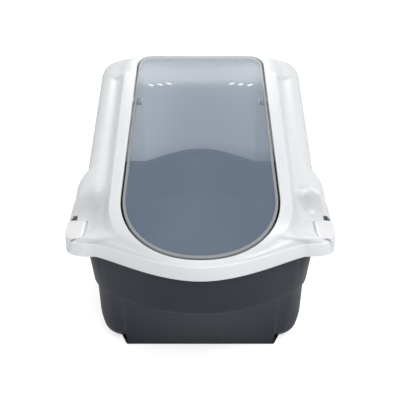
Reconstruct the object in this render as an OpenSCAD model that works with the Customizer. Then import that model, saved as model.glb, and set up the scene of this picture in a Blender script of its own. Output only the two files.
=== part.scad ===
// Hooded litter box with a see-through lid in its sloping roof.
// The lid swings on two pins in the roof, and two side clips hold the hood on the tray.
// Right is +X, the nose points to -Y, and the tray stands on the plane z = 0.

/* [Box] */
// Length from the nose to the tail
box_l = 560; // [520:2:600]
// Height of the roof's crest
crest_h = 400; // [385:1:420]
// Distance of the crest ahead of the tail
crest_back = 96; // [90:1:102]
// Height of the roof above the nose
nose_h = 205; // [203:0.5:210]
// Depth of the wave that carries the nose and the tail
wave = 75; // [60:1:85]
// Half of the width over which the nose wave spreads
nose_reach = 152; // [140:1:160]
// Half of the width over which the tail wave spreads
tail_reach = 108; // [95:1:125]

/* [Hood] */
// Wall of the hood
hood_wall = 2.6; // [2:0.1:3.2]
// Width of the apron at the hood's hem
apron_w = 378; // [360:1:396]
// Distance that each wing stands out beyond the apron
wing_out = 14; // [12:0.5:16]
// Distance of each shoulder inside the apron
shoulder_in = 6; // [5:0.5:10]
// Distance of the raised band's edge inside the shoulder
band_in = 46.5; // [44:0.5:50]
// Distance of the ridge's line inside the shoulder
ridge_in = 19.5; // [18:0.5:21]
// Distance of the channel's line outside the band
channel_out = 11; // [9:0.5:12]
// Depth of the channel beside the band
channel_d = 13; // [9:0.5:16]
// Depth of the ridge beside the channel, below the band
ridge_d = 9; // [6:0.5:10]
// Depth of the hem below the roof's front edge
hem_drop = 20; // [18:0.5:24]
// Length of each deck beside the lid's front
deck_l = 76; // [66:1:80]
// Length of the wings
wing_l = 125; // [115:1:135]
// Radius of the corners of the tall rear wall
corner_r = 34; // [26:1:40]
// Radius of the apron's corners
apron_corner = 26; // [22:1:34]

/* [Lid] */
// Distance of the lid's side inside the band's edge, at the lid's front
lid_in = 19.5; // [18:0.5:22]
// Distance that each rear corner of the lid lies nearer to the middle
lid_narrow = 5.5; // [4:0.5:8]
// Distance of the lid's front tip behind the nose
lid_front = 18; // [16:0.5:26]
// Distance of the lid's rear edge ahead of the crest
lid_back = 3.4; // [3.4:0.1:10]
// Length of the lid's rounded front
lid_round = 113; // [100:1:120]
// Radius of the lid's rear corners
lid_corner = 24; // [16:1:30]
// Thickness of the lid's pane
pane_t = 2.6; // [2:0.1:3.2]
// Depth of the rim round the lid
rim_d = 9; // [7:0.5:10]
// Thickness of that rim
rim_t = 4; // [3:0.1:5]
// Gap between the lid and the band
slit = 3.2; // [2.6:0.1:4]
// Depth of the flange round the roof's opening
flange_d = 12; // [11:0.5:14]

/* [Lid hinge] */
// Distance of the hinge ahead of the lid's rear edge
hinge_back = 106.6; // [95:0.1:112]
// Depth of the hinge's axis below the roof
hinge_d = 9; // [8.8:0.1:10]
// Radius of the hinge pins
pin_r = 4; // [3:0.1:4.2]
// Clearance round a pin in its hole
pin_clear = 0.05; // [0.02:0.01:0.1]
// Radius of the bosses that hold a pin
boss_r = 6.4; // [6:0.1:6.6]
// Length of the lid's boss inside its rim
lid_boss_l = 7; // [5:0.5:9]
// Length of the hood's boss outside its flange
hood_boss_l = 11; // [8:0.5:14]
// Thickness of a pin's head
pin_head_t = 2; // [1.5:0.1:3]
// Radius of a pin's head
pin_head_r = 5.6; // [5:0.1:6]

/* [Tray] */
// Wall of the tray
tray_wall = 3; // [2.4:0.1:3.6]
// Distance of the tray's body inside the apron
tray_in = 16; // [15:0.5:20]
// Distance of the body below the ledge inside the body above it
ledge_in = 6; // [5:0.5:8]
// Height of that ledge
ledge_h = 103; // [90:1:115]
// Depth of the ledge's arched ends
ledge_arch = 87; // [70:1:90]
// Distance of the foot panel's edge inside the side of the body
foot_in = 48.5; // [44:0.5:55]
// Distance of the foot's end behind the flat of the nose
foot_back = 49; // [45:0.5:55]
// Distance of the ledge's corners behind the flat of the nose
ledge_back = 59; // [56:0.5:64]
// Height of the foot's edge below the tray's corners
foot_h = 3; // [2:0.5:5]
// Thickness of the rim that carries the hood
rim_plate_t = 3; // [2.4:0.1:4]
// Gap between the rim and the hood
seat_clear = 0.3; // [0.2:0.05:0.5]
// Gap round the rim inside the hem
rim_clear = 1.5; // [1:0.1:2]

/* [Side clips] */
// Length of a clip along the box
clip_l = 44; // [40:1:46]
// Distance of a clip's middle behind the flat of the nose
clip_back = 31; // [29:1:33]
// Width of a clip's top plate
clip_w = 31; // [28:0.5:33]
// Thickness of a clip
clip_t = 3; // [2.5:0.1:3.5]
// Height of a clip's top above the wing
clip_rise = 2; // [1.5:0.1:3]
// Radius of a clip's pivots
pivot_r = 2; // [1.6:0.1:2.4]
// Length of a clip's pivots
pivot_l = 3; // [2:0.5:3]
// Gap round a clip in its notch
clip_clear = 0.8; // [0.6:0.1:1.2]
// Width of the slot for the tray's tongue
slot_w = 10; // [8:0.5:10]
// Length of the slot for the tray's tongue
slot_l = 11; // [8:0.5:11]
// Distance of the slot's middle behind the flat of the nose
slot_back = 63; // [63:0.5:66]
// Gap round the tongue in its slot
slot_clear = 1; // [0.6:0.1:1.4]

/* [Hidden] */
$fn = 48;

white = [0.93, 0.94, 0.95];
smoke = [0.50, 0.54, 0.60, 0.55];
anthracite = [0.20, 0.22, 0.25];
ivory = [0.88, 0.89, 0.90];

// Points along a side and along an end of each ring
side_n = 18;
end_n = 30;
ring_n = 2 * (side_n + end_n);

// The roof is one plane from the nose to the crest
nose_y = box_l / 2;
shoulder_w = apron_w - 2 * shoulder_in;
wing_w = apron_w + 2 * wing_out;
band_w = shoulder_w - 2 * band_in;
lid_w = band_w - 2 * lid_in;
lid_rear_w = lid_w - 2 * lid_narrow;
tray_w = apron_w - 2 * tray_in;
ledge_w = tray_w - 2 * ledge_in;
foot_w = ledge_w - 2 * foot_in;
front_flat = nose_y - wave;
rear_flat = front_flat;
crest_y = nose_y - crest_back;
hem_h = nose_h - hem_drop;
lid_tip = nose_y - lid_front;
lid_tail = crest_y - lid_back;
hinge_y = lid_tail - hinge_back;
clip_y = front_flat - clip_back;
slot_y = front_flat - slot_back;
roof_slope = (crest_h - nose_h) / (crest_y + nose_y);
roof_angle = atan(roof_slope);
function roof(y) = nose_h + roof_slope * (y + nose_y);

function mix(a, b, f) = a + (b - a) * f;
function soft(a, b, v) = let (u = min(1, max(0, (v - a) / (b - a)))) u * u * (3 - 2 * u);

// The wave that pushes the nose and the tail out of the flat ends
wave_power = 0.57;
function wave_at(x, reach) = pow(1 - soft(0, reach, abs(x)), wave_power);

// How far an end stands out at x. An end is [depth, exponent, wave, reach, arch].
// Exponent 0 gives a flat end with corners of that radius, any other a rounded end.
function round_end(x, w, d, n) = n > 0
    ? d * pow(max(0, 1 - pow(abs(x) / w, n)), 1 / n)
    : sqrt(max(0, d * d - pow(max(0, abs(x) - w + d), 2)));
function end_at(x, w, e) = round_end(x, w, e[0], e[1])
    + (e[2] > 0 ? e[2] * wave_at(x, e[3]) : 0) + e[4] * (1 - pow(x / w, 2));

// Point i of a ring in plan: right side, rear end, left side, front end
function end_angle(k) = 180 * k / end_n - 90;
function ring_xy(i, w, fy, front, ry, rear) =
    i < side_n ? [w, mix(-fy, ry, i / side_n)] :
    i < side_n + end_n ? let (x = -w * sin(end_angle(i - side_n)))
        [x, ry + end_at(x, w, rear)] :
    i < 2 * side_n + end_n ? [-w, mix(ry, -fy, (i - side_n - end_n) / side_n)] :
    let (x = w * sin(end_angle(i - 2 * side_n - end_n)))
        [x, -fy - end_at(x, w, front)];
// 0 along the sides and the rear, 1 at the middle of the front end
function frontness(i) = i < 2 * side_n + end_n ? 0 : cos(end_angle(i - 2 * side_n - end_n));

// Skin through a list of rings. A tube joins its last ring to its first, and
// a bowl is closed by one point under its first ring and one over its last.
// From the ring numbered inner on, the diagonals run the other way, so that both
// faces of a wall are creased alike.
function belt(a, b, n, back) = [for (i = [0:n - 1]) each
    let (j = (i + 1) % n)
    back ? [[a * n + i, b * n + i, a * n + j], [b * n + i, b * n + j, a * n + j]]
        : [[a * n + i, b * n + i, b * n + j], [a * n + i, b * n + j, a * n + j]]];
module tube_skin(rings, inner) {
    m = len(rings);
    n = len(rings[0]);
    polyhedron(
        points = [for (r = rings) each r],
        faces = [for (k = [0:m - 1]) each belt((k + 1) % m, k, n, k >= inner)],
        convexity = 8);
}
module bowl_skin(rings, inner, low, high) {
    m = len(rings);
    n = len(rings[0]);
    polyhedron(
        points = concat([for (r = rings) each r], [low, high]),
        faces = concat(
            [for (k = [0:m - 2]) each belt(k, k + 1, n, k >= inner)],
            [for (i = [0:n - 1]) [m * n, i, (i + 1) % n]],
            [for (i = [0:n - 1]) [m * n + 1, (m - 1) * n + (i + 1) % n, (m - 1) * n + i]]),
        convexity = 8);
}

// Lid and opening share one outline, grown by the slit
lid_side = lid_tip - lid_round;
lid_taper = 1 - lid_rear_w / lid_w;
lid_power = 2.15;
function lid_xy(i, grow) =
    let (
        p = ring_xy(i, lid_w / 2 + grow, lid_side, [lid_round + grow, lid_power, 0, 1, 0],
            lid_tail - lid_corner, [lid_corner + grow, 0, 0, 1, 0]),
        f = (p[1] + lid_side) / (lid_tail + lid_side))
    [p[0] * (1 - lid_taper * max(0, f)), p[1]];
function opening_xy(i, grow) = lid_xy(i, slit + grow);

// Apron outline in plan, inset by a wall, widened into the two wings near the front
wing_blend = 27;
wing_full = front_flat + wing_blend / 2 - wing_l;
wing_rear = wing_full - wing_blend;
wing_power = 6;
function wing_at(y) = soft(-wing_rear, -wing_full, y);
function widened(p, w, out) =
    [p[0] + sign(p[0]) * out * wing_at(p[1]) * pow(min(1, abs(p[0]) / w), wing_power), p[1]];
function apron_xy(i, inset, out) =
    let (w = apron_w / 2 - inset)
    widened(ring_xy(i, w, front_flat - apron_corner,
        [apron_corner - inset, 0, wave, nose_reach, 0],
        rear_flat - apron_corner, [apron_corner - inset, 0, nose_y - rear_flat, tail_reach, 0]), w, out);

// Deck between the band and the wing's edge, ahead of the shoulders. It falls from the
// band to the ridge and goes on to the wing's edge almost level.
deck_front_y = -front_flat;
deck_rear_y = deck_front_y + deck_l;
deck_inner_front = nose_h + 12;
deck_inner_rear = roof(deck_rear_y) - 8;
deck_bend_front = nose_h + 3.5;
deck_bend_rear = nose_h + 19;
deck_outer_front = nose_h + 2;
deck_outer_rear = nose_h + 15.5;
deck_bend = (band_in - ridge_in) / (band_in + shoulder_in + wing_out);
function deck(x, y) =
    let (
        t = max(0, (y - deck_front_y) / (deck_rear_y - deck_front_y)),
        s = min(1, max(0, (abs(x) - band_w / 2) / (wing_w / 2 - band_w / 2))),
        inner = mix(deck_inner_front, deck_inner_rear, t),
        bend = mix(deck_bend_front, deck_bend_rear, t),
        outer = mix(deck_outer_front, deck_outer_rear, t))
    s < deck_bend ? mix(inner, bend, s / deck_bend)
        : mix(bend, outer, (s - deck_bend) / (1 - deck_bend));
deck_fade = 20;
function deck_part(y) = 1 - soft(deck_rear_y - deck_fade / 2, deck_rear_y + deck_fade / 2, y);

// One ring of the hood's upper shell.
// s = [half width, rear flat, rear wave, front mix, side drop, rear drop, wing part]
function shell_xy(i, s, inset) =
    let (
        w = s[0] - inset,
        open = lid_w / 2 + slit,
        f = (w - open) / (apron_w / 2 - open),
        p = frontness(i) > 0
            ? mix(opening_xy(i, 0), apron_xy(i, inset, 0), mix(f, s[3], frontness(i)))
            : ring_xy(i, w, mix(lid_side, front_flat - apron_corner, f), [1, 0, 0, 1, 0],
                s[1] - corner_r, [corner_r - inset, 0, s[2], tail_reach, 0]))
    widened(p, w, wing_out * s[6]);
band_half = band_w / 2;
function rear_part(x) = 1 - soft(band_half, band_half + corner_r, abs(x));
function shell_z(i, p, s) =
    let (
        side = roof(min(p[1], crest_y)) - mix(s[4], s[5], p[1] > rear_flat - 2 * corner_r
            ? rear_part(p[0]) : 0),
        low = s[6] > 0 || s[4] > 1 ? mix(side, deck(p[0], p[1]), deck_part(p[1])) : side,
        front = mix(roof(opening_xy(i, 0)[1]), nose_h + 1.5, s[3]))
    mix(low, front, soft(0, 0.6, frontness(i)));
rear_from = 0.3;
rear_to = 0.6;
function rearness(i) = i < side_n || i > side_n + end_n ? 0
    : soft(rear_from, rear_to, cos(end_angle(i - side_n)));
function at_front(i) = soft(0, 0.6, frontness(i));
function shell_ring(s, inset, sink) = [for (i = [0:ring_n - 1])
    let (p = shell_xy(i, s, inset))
    [p[0], p[1], shell_z(i, p, s) - (sink > 0 ? mix(sink, hood_wall, at_front(i)) : 0)]];

// Height of the crease along the apron's top, which climbs along the wings
apron_climb = 50;
wing_lip = 2.5;
function apron_top(p) = nose_h + 1
    + (deck(wing_w / 2, p[1]) - deck_outer_front - wing_lip) * wing_at(p[1])
        * soft(apron_climb - nose_y, 2 * apron_climb - nose_y, p[1]);
apron_step = 3;
shoulder_half = shoulder_w / 2;
band_s = [band_half, crest_y + 4, 0, 0.30, 0.8, 2.5, 0];
channel_s = [band_half + channel_out, crest_y + 9, 2, 0.42, channel_d, 6, 0];
ridge_s = [shoulder_half - ridge_in, crest_y + 12.5, 5, 0.52, ridge_d, 12, 0];
brow_s = [shoulder_half - 5, crest_y + 14.5, 9, 0.60, 18, 22, 0.7];
wall_s = [shoulder_half, crest_y + 16, 18, 0.66, 38, 38, 0.9];

// Rings of the tall wall below the shoulders
waist_part = 0.34;
function lower_ring(f, inset) = [for (i = [0:ring_n - 1])
    let (
        top = shell_xy(i, wall_s, inset),
        foot = apron_xy(i, inset + apron_step, wing_out - 1),
        top_z = shell_z(i, top, wall_s),
        foot_z = apron_top(foot) + mix(apron_step, 0.8, at_front(i)),
        p = mix(foot, top, f),
        sink = inset > 0 ? mix(0, hood_wall, at_front(i)) : 0)
    [p[0], p[1], mix(foot_z, max(foot_z + 0.5, top_z), f) - sink]];
function apron_ring(inset, z) = [for (i = [0:ring_n - 1])
    let (p = apron_xy(i, inset, wing_out)) [p[0], p[1], z == undef ? apron_top(p) : z]];
draft = 1;

// Rings of the opening, square to the roof
function flange_ring(grow, side_depth, front_depth) = [for (i = [0:ring_n - 1])
    let (p = opening_xy(i, grow), depth = mix(side_depth, front_depth, at_front(i)))
    [p[0], p[1] + depth * sin(roof_angle), roof(p[1]) - depth * cos(roof_angle)]];

// Inner rings behind the opening, where the flange and the rear wall are one
function tucked(ring, dy, dz) = [for (i = [0:ring_n - 1])
    let (
        r = rearness(i),
        y = lid_tail + slit + hood_wall + flange_d * sin(roof_angle) + dy,
        z = roof(lid_tail + slit + hood_wall) - flange_d * cos(roof_angle) - dz)
    [ring[i][0], mix(ring[i][1], y, r), mix(ring[i][2], z, r)]];

seat_h = hem_h + rim_plate_t - 0.4 + seat_clear;
module hood_shell() {
    sink = hood_wall / cos(roof_angle);
    tube_skin([
        flange_ring(0, flange_d, flange_d),
        flange_ring(0, 0, 0),
        shell_ring(band_s, 0, 0),
        shell_ring(channel_s, 0, 0),
        shell_ring(ridge_s, 0, 0),
        shell_ring(brow_s, 0, 0),
        shell_ring(wall_s, 0, 0),
        lower_ring(2 * waist_part, 0),
        lower_ring(waist_part, 0),
        lower_ring(0, 0),
        apron_ring(draft, undef),
        apron_ring(0, hem_h),
        apron_ring(hood_wall, hem_h),
        apron_ring(hood_wall, seat_h),
        apron_ring(hood_wall + apron_step + draft, seat_h),
        lower_ring(0, hood_wall),
        lower_ring(waist_part, hood_wall),
        lower_ring(2 * waist_part, hood_wall),
        shell_ring(wall_s, hood_wall, 1),
        shell_ring(brow_s, hood_wall * 0.6, hood_wall * 0.9),
        tucked(shell_ring(ridge_s, 0, sink), 3.4, 3),
        tucked(shell_ring(channel_s, 0, sink), 2, 1.6),
        tucked(shell_ring(band_s, 0, sink), 1.2, 0.8),
        tucked(flange_ring(hood_wall, sink, 2.4 * sink), 0.5, 0.3),
        flange_ring(hood_wall, flange_d, flange_d)],
        12);
}

// Hinge axis of the lid, and what lies along it
hinge_z = roof(hinge_y) - hinge_d / cos(roof_angle);
lid_edge = lid_w / 2 * (1 - lid_taper * (hinge_y + lid_side) / (lid_tail + lid_side));
open_edge = lid_edge + slit;
boss_face = 1;
lid_boss_in = lid_edge - rim_t - lid_boss_l;
hood_boss_out = open_edge + hood_boss_l;
pin_end_gap = 0.8;
boss_floor = 1.6;
module along_hinge(from, to, r) {
    translate([from, hinge_y, hinge_z])
        rotate([0, 90, 0])
            cylinder(r = r, h = to - from);
}
module pair() {
    children();
    mirror([1, 0, 0])
        children();
}
module hood_boss() {
    along_hinge(open_edge - boss_face, hood_boss_out, boss_r);
}
module hood_bore() {
    along_hinge(open_edge - 2 * boss_face, hood_boss_out - boss_floor, pin_r + pin_clear);
}

// Stop tabs under the lid's front rim
stop_x = 62;
stop_w = 16;
stop_reach = 7;
stop_t = 3;
stop_gap = 0.4;
function tip_at(x) = lid_side + lid_round * pow(1 - pow(x / (lid_w / 2), lid_power), 1 / lid_power);
module stop_tab() {
    y = -tip_at(stop_x) - slit;
    translate([stop_x, y, roof(y)])
        rotate([roof_angle, 0, 0])
            translate([-stop_w / 2, -hood_wall - stop_reach, -rim_d - stop_gap - stop_t])
                cube([stop_w, 2 * stop_reach + hood_wall, stop_t]);
}

// The clip's own frame: its top plate is level there, and its pivots run along Y
wing_half = wing_w / 2;
clip_mid_x = wing_half - clip_w / 2;
clip_z = deck(clip_mid_x, -clip_y);
clip_pitch = atan((deck(clip_mid_x, clip_l / 2 - clip_y) - deck(clip_mid_x, -clip_l / 2 - clip_y))
    / clip_l);
clip_roll = atan((deck(wing_half - clip_w, -clip_y) - deck(wing_half, -clip_y)) / clip_w);
module clip_pitched() {
    translate([0, -clip_y, clip_z])
        rotate([clip_pitch, 0, 0])
            children();
}
module clip_frame() {
    clip_pitched()
        translate([clip_mid_x, 0, 0])
            rotate([0, clip_roll, 0])
                children();
}
barrel_r = 5.5;
pivot_x = barrel_r - clip_w / 2;
pivot_z = clip_rise - barrel_r;
leg_inset = 1;
leg_gap = 0.8;
leg_tall = 60;
nib_t = 1.8;
nib_gap = 1.6;
nib_end = 3;
rim_edge = apron_w / 2 - hood_wall - rim_clear;

// A clip stays this far inside the wing's outline
clip_inset = 0.6;
// Everything under the plane of a clip's top, down past the hem
module under_clip(grow) {
    clip_frame()
        translate([-2 * clip_w, -clip_l, clip_rise + grow - 2 * leg_tall])
            cube([4 * clip_w, 2 * clip_l, 2 * leg_tall]);
}
module above_hem(gap) {
    translate([0, -box_l, hem_h + gap])
        cube([box_l, 2 * box_l, crest_h]);
}
module clip_slab(x, w, grow) {
    clip_pitched()
        translate([x, -clip_l / 2 - grow, -leg_tall])
            cube([w, clip_l + 2 * grow, 2 * leg_tall]);
}
module clip() {
    intersection() {
        clip_body();
        translate([0, 0, -crest_h])
            linear_extrude(3 * crest_h)
                polygon([for (i = [0:ring_n - 1]) apron_xy(i, clip_inset, wing_out)]);
    }
}
module clip_body() {
    clip_frame() {
        translate([pivot_x, -clip_l / 2, clip_rise - clip_t])
            cube([clip_w / 2 - pivot_x, clip_l, clip_t]);
        translate([pivot_x, 0, pivot_z])
            rotate([90, 0, 0]) {
                cylinder(r = barrel_r, h = clip_l, center = true);
                cylinder(r = pivot_r, h = clip_l + 2 * clip_clear + 2 * pivot_l, center = true);
            }
    }
    intersection() {
        clip_slab(wing_half - leg_inset - clip_t, clip_t, 0);
        under_clip(0);
        above_hem(leg_gap);
    }
    intersection() {
        clip_slab(rim_edge + nib_gap, wing_half - leg_inset - clip_t / 2 - rim_edge - nib_gap,
            -nib_end);
        above_hem(leg_gap);
        translate([0, 0, nib_t - crest_h])
            above_hem(leg_gap);
    }
}

// Notch in the wing for a clip, and the ears that hold its pivots
leg_side = 0.2;
module clip_notch() {
    clip_frame()
        translate([-clip_w / 2 - clip_clear, -clip_l / 2 - clip_clear, -barrel_r - 3 * hood_wall])
            cube([2 * clip_w, clip_l + 2 * clip_clear, 4 * barrel_r + 6 * hood_wall]);
    clip_slab(rim_edge + nib_gap - clip_clear, clip_w, clip_clear - leg_side);
}
ear_wall = 1.8;
ear_top = 0.2;
module clip_ear() {
    clip_frame()
        translate([pivot_x - pivot_r - ear_wall, clip_l / 2 + clip_clear, pivot_z - pivot_r - ear_wall])
            cube([2 * (pivot_r + ear_wall), pivot_l + ear_wall, -ear_top - pivot_z + pivot_r + ear_wall]);
}
module clip_ears() {
    clip_ear();
    clip_frame()
        mirror([0, 1, 0])
            translate([pivot_x - pivot_r - ear_wall, clip_l / 2 + clip_clear,
                pivot_z - pivot_r - ear_wall])
                cube([2 * (pivot_r + ear_wall), pivot_l + ear_wall,
                    -ear_top - pivot_z + pivot_r + ear_wall]);
}
module clip_bores() {
    clip_frame()
        translate([pivot_x, 0, pivot_z])
            rotate([90, 0, 0])
                cylinder(r = pivot_r + pin_clear, h = clip_l + 2 * clip_clear + 2 * pivot_l + 1,
                    center = true);
}

// Slot in the wing for the tray's tongue
slot_x = wing_half - 4 - slot_w / 2;
module wing_slot() {
    translate([slot_x - slot_w / 2, -slot_y - slot_l / 2, hem_h - 1])
        cube([slot_w, slot_l, crest_h]);
}

// Vents high in the rear wall, three on each side
vent_x = 60;
vent_pitch = 17;
vent_l = 10;
vent_t = 2.6;
vent_lean = 20;
vent_drop = 60;
vent_deep = 100;
module vents() {
    for (k = [0:2])
        translate([vent_x + k * vent_pitch, nose_y - vent_deep / 2, crest_h - vent_drop])
            rotate([0, -vent_lean, 0])
                cube([vent_l, vent_deep, vent_t], center = true);
}

module hood() {
    color(white)
        difference() {
            union() {
                hood_shell();
                pair() {
                    hood_boss();
                    stop_tab();
                    clip_ears();
                }
            }
            pair() {
                hood_bore();
                clip_notch();
                clip_bores();
                wing_slot();
                vents();
            }
        }
}

// Plan of the lid in the plane of the roof, measured from the hinge
module lid_outline(grow) {
    polygon([for (i = [0:ring_n - 1])
        let (p = lid_xy(i, grow))
        [p[0], (p[1] - hinge_y) / cos(roof_angle) + hinge_d * tan(roof_angle)]]);
}
module lid() {
    color(smoke)
        difference() {
            union() {
                translate([0, hinge_y, hinge_z])
                    rotate([roof_angle, 0, 0])
                        difference() {
                            translate([0, 0, hinge_d - rim_d])
                                linear_extrude(rim_d)
                                    lid_outline(0);
                            translate([0, 0, hinge_d - 2 * rim_d])
                                linear_extrude(2 * rim_d - pane_t)
                                    lid_outline(-rim_t);
                        }
                pair()
                    along_hinge(lid_boss_in, lid_edge + boss_face, boss_r);
            }
            pair()
                along_hinge(lid_boss_in - 1, lid_edge + 2 * boss_face, pin_r + pin_clear);
        }
}

module hinge_pin() {
    along_hinge(lid_boss_in - pin_head_t - pin_clear, lid_boss_in - pin_clear, pin_head_r);
    along_hinge(lid_boss_in - pin_head_t / 2, hood_boss_out - boss_floor - pin_end_gap, pin_r);
}
module hinge_pin_left() {
    color(ivory)
        mirror([1, 0, 0])
            hinge_pin();
}
module hinge_pin_right() {
    color(ivory)
        hinge_pin();
}

module clip_left() {
    color(white)
        mirror([1, 0, 0])
            clip();
}
module clip_right() {
    color(white)
        clip();
}

// Plan of the tray: the foot's panel spans the middle of each end, and below the
// ledge the corners are tucked in behind it
panel_half = foot_w / 2;
panel_part = 0.6;
panel_side = 0.8;
function tray_end_x(k, w) =
    let (u = 2 * k / end_n - 1, a = abs(u))
    sign(u) * (a <= panel_part ? panel_half * a / panel_part
        : panel_half + panel_side
            + (w - panel_half - panel_side) * sin(90 * (a - panel_part) / (1 - panel_part)));
function tray_end(x, w, corner, swell, reach, arch, tuck) =
    round_end(x, w, corner, 0) - corner + (swell > 0 ? swell * wave_at(x, reach) : 0)
    + arch * (1 - pow(x / w, 2)) - (abs(x) > panel_half + panel_side / 2 ? tuck : 0);
function tray_ring(w, flat, corner, swell, arch, tuck, z) =
    let (side = flat - corner - tuck)
    [for (i = [0:ring_n - 1])
        i < side_n ? [w, mix(-side, side, i / side_n), z] :
        i < side_n + end_n ? let (x = -tray_end_x(i - side_n, w))
            [x, flat + tray_end(x, w, corner, swell, tail_reach, arch, tuck), z] :
        i < 2 * side_n + end_n ? [-w, mix(side, -side, (i - side_n - end_n) / side_n), z] :
        let (x = tray_end_x(i - 2 * side_n - end_n, w))
        [x, -flat - tray_end(x, w, corner, swell, nose_reach, arch, tuck), z]];

rim_top = seat_h - seat_clear;
rim_low = rim_top - rim_plate_t;
tray_half = tray_w / 2;
ledge_half = ledge_w / 2;
ledge_step = 4;
top_flat = front_flat - (apron_w - tray_w) / 2;
ledge_flat = front_flat - ledge_back;
foot_half = front_flat - foot_back;
tray_corner = 30;
rim_inset = hood_wall + rim_clear;
neck_h = 8;
// Rings from the floor to the ledge as [height, tuck of the corners]
tuck_rings = [[foot_h, 27], [foot_h + 4, 17], [foot_h + 15, 7.5], [foot_h + 40, 2]];
function body_ring(z, tuck, wall) =
    let (t = min(1, z / ledge_h))
    tray_ring(mix(ledge_half - 3, ledge_half, t) - tuck - wall,
        mix(foot_half, ledge_flat, t) - wall, max(4, tray_corner - wall - tuck / 2),
        0, ledge_arch * t, tuck, z + wall * (tuck > 3 ? 1 : 0));
function swelling_ring(f, inset) =
    let (
        low = tray_ring(ledge_half + ledge_step - inset, ledge_flat + ledge_step - inset,
            tray_corner - inset, 0, ledge_arch, 0, ledge_h + ledge_step),
        high = tray_ring(tray_half - 0.6 - inset, top_flat - 0.6 - inset, tray_corner - inset,
            wave, 0, 0, rim_low - neck_h))
    [for (i = [0:ring_n - 1]) mix(low[i], high[i], f)];
module tray_shell() {
    floor_z = foot_h + tray_wall;
    bowl_skin(concat(
        [tray_ring(panel_half + 2, foot_half, 2, 0, 0, 0, 0),
            tray_ring(panel_half + 2.4, foot_half + 2, 2, 0, 0, 0, foot_h - 0.5)],
        [for (t = tuck_rings) body_ring(t[0], t[1], 0)],
        [body_ring(ledge_h, 0, 0),
            tray_ring(ledge_half + ledge_step, ledge_flat + ledge_step, tray_corner, 0,
                ledge_arch, 0, ledge_h + ledge_step),
            swelling_ring(0.5, 0),
            tray_ring(tray_half - 0.6, top_flat - 0.6, tray_corner, wave, 0, 0, rim_low - neck_h),
            tray_ring(tray_half, top_flat, tray_corner, wave, 0, 0, rim_low),
            tray_ring(apron_w / 2 - rim_inset, front_flat - rim_inset, apron_corner - rim_inset,
                wave, 0, 0, rim_low),
            tray_ring(apron_w / 2 - rim_inset, front_flat - rim_inset, apron_corner - rim_inset,
                wave, 0, 0, rim_top),
            tray_ring(tray_half - tray_wall, top_flat - tray_wall, tray_corner - tray_wall,
                wave, 0, 0, rim_top),
            tray_ring(tray_half - 0.6 - tray_wall, top_flat - 0.6 - tray_wall,
                tray_corner - tray_wall, wave, 0, 0, rim_low - neck_h),
            swelling_ring(0.5, tray_wall),
            tray_ring(ledge_half + ledge_step - tray_wall, ledge_flat + ledge_step - tray_wall,
                tray_corner - tray_wall, 0, ledge_arch, 0, ledge_h + ledge_step),
            body_ring(ledge_h, 0, tray_wall)],
        [for (k = [len(tuck_rings) - 1:-1:0]) body_ring(tuck_rings[k][0], tuck_rings[k][1], tray_wall)]),
        14, [0, 0, 0], [0, 0, floor_z]);
}
// Tongue that rises from the rim through the wing's slot
tongue_w = slot_w - 2 * slot_clear;
tongue_l = slot_l - 2 * slot_clear;
bracket_in = 0.3;
bracket_root = 4;
module tongue() {
    translate([rim_edge - bracket_root, -slot_y - tongue_l / 2, rim_low + bracket_in])
        cube([slot_x + tongue_w / 2 - rim_edge + bracket_root, tongue_l, rim_plate_t - 2 * bracket_in]);
    translate([slot_x - tongue_w / 2, -slot_y - tongue_l / 2, rim_low + bracket_in])
        cube([tongue_w, tongue_l, deck(slot_x, -slot_y) - 1.5 - rim_low - bracket_in]);
}
module tray() {
    color(anthracite) {
        tray_shell();
        pair()
            tongue();
    }
}

tray();
hood();
lid();
hinge_pin_left();
hinge_pin_right();
clip_left();
clip_right();
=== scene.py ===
import math
from collections import namedtuple

import bpy
import numpy as np
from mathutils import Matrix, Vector
from mathutils.kdtree import KDTree


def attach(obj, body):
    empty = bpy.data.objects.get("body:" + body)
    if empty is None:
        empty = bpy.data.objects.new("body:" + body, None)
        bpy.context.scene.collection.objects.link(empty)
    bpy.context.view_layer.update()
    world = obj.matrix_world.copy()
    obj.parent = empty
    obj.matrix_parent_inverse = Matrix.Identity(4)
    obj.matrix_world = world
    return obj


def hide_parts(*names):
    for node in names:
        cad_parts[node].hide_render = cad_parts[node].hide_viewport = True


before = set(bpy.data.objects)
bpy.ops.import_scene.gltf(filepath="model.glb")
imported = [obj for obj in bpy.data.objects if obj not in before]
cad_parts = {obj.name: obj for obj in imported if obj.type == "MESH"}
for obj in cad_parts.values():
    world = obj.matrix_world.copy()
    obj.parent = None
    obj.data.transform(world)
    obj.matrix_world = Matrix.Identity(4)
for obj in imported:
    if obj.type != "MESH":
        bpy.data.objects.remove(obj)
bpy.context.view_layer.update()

# Studio
# A white sheet under the box, an even white surround and four soft lamps. The right lamp is
# brighter than the left one, and the rear one is mirrored in the lid's top.
LENS_MM = 67.5
SENSOR_MM = 36.0
CAMERA_PLACE = (0.0, -1.1926, 0.6955)
CAMERA_PITCH_DEG = 23.0
CAMERA_SHIFT = -0.001
CAMERA_NEAR = 0.05
CAMERA_FAR = 30.0
SHEET_SIZE = 14.0
SURROUND_LIGHT = 0.59
SHEET_COLOUR = (0.80, 0.80, 0.81, 1.0)
SHEET_GLOW = 0.62

camera = bpy.data.objects.new("camera", bpy.data.cameras.new("camera"))
camera.data.lens = LENS_MM
camera.data.sensor_width = SENSOR_MM
camera.data.shift_x = CAMERA_SHIFT
camera.data.clip_start = CAMERA_NEAR
camera.data.clip_end = CAMERA_FAR
camera.location = CAMERA_PLACE
camera.rotation_euler = (math.radians(90.0 - CAMERA_PITCH_DEG), 0.0, 0.0)
bpy.context.collection.objects.link(camera)
bpy.context.scene.camera = camera
bpy.context.scene.view_settings.view_transform = "Standard"


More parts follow.
